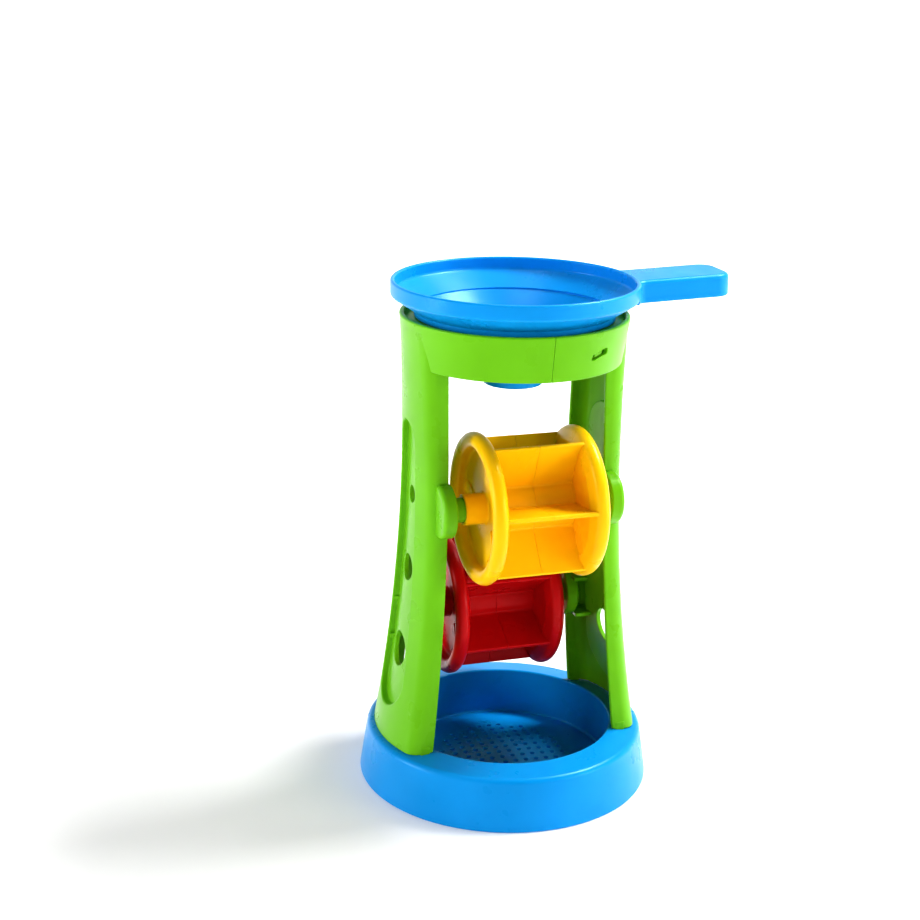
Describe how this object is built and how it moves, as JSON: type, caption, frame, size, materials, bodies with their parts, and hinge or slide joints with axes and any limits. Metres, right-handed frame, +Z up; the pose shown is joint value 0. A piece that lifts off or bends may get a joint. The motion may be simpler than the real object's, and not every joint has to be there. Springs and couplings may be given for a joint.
{
  "type": "sand wheel toy",
  "caption": "Sand and water mill toy: a lift-off funnel with a handle pours sand over two paddle wheels in a clipped tower on a dished sieve base.",
  "frame": {"origin": "Centre of the ring-shaped bottom edge of the base, on the surface that the toy stands on", "axes": "+Z up; +X along the wheel axles, from the left leg to the right leg, the side to which the funnel's handle points; +Y to the back, so the upper wheel hangs in front of the tower at -Y and the lower wheel behind it at +Y"},
  "size_m": [0.173, 0.14, 0.2433],
  "materials": {
    "blue_plastic": "glossy moulded polypropylene, azure blue",
    "green_plastic": "glossy moulded polypropylene, lime green",
    "yellow_plastic": "glossy moulded polypropylene, golden yellow",
    "red_plastic": "glossy moulded polypropylene, red"
  },
  "bodies": {
    "tower": {"base_dish": "blue_plastic", "tower_left": "green_plastic", "tower_right": "green_plastic"},
    "upper_wheel": {"upper_wheel_left": "yellow_plastic", "upper_wheel_right": "yellow_plastic"},
    "lower_wheel": {"lower_wheel_left": "red_plastic", "lower_wheel_right": "red_plastic"},
    "funnel": {"funnel": "blue_plastic"}
  },
  "joints": [
    {"name": "upper_wheel_spin", "type": "hinge", "parent": "tower", "child": "upper_wheel", "pos_m": [0, -0.0247, 0.143], "axis": [1, 0, 0], "continuous": true},
    {"name": "lower_wheel_spin", "type": "hinge", "parent": "tower", "child": "lower_wheel", "pos_m": [0, 0.0255, 0.078], "axis": [1, 0, 0], "continuous": true},
    {"name": "funnel_lift", "type": "slide", "parent": "tower", "child": "funnel", "axis": [0, 0, 1], "range_m": [0, 0.06]}
  ]
}
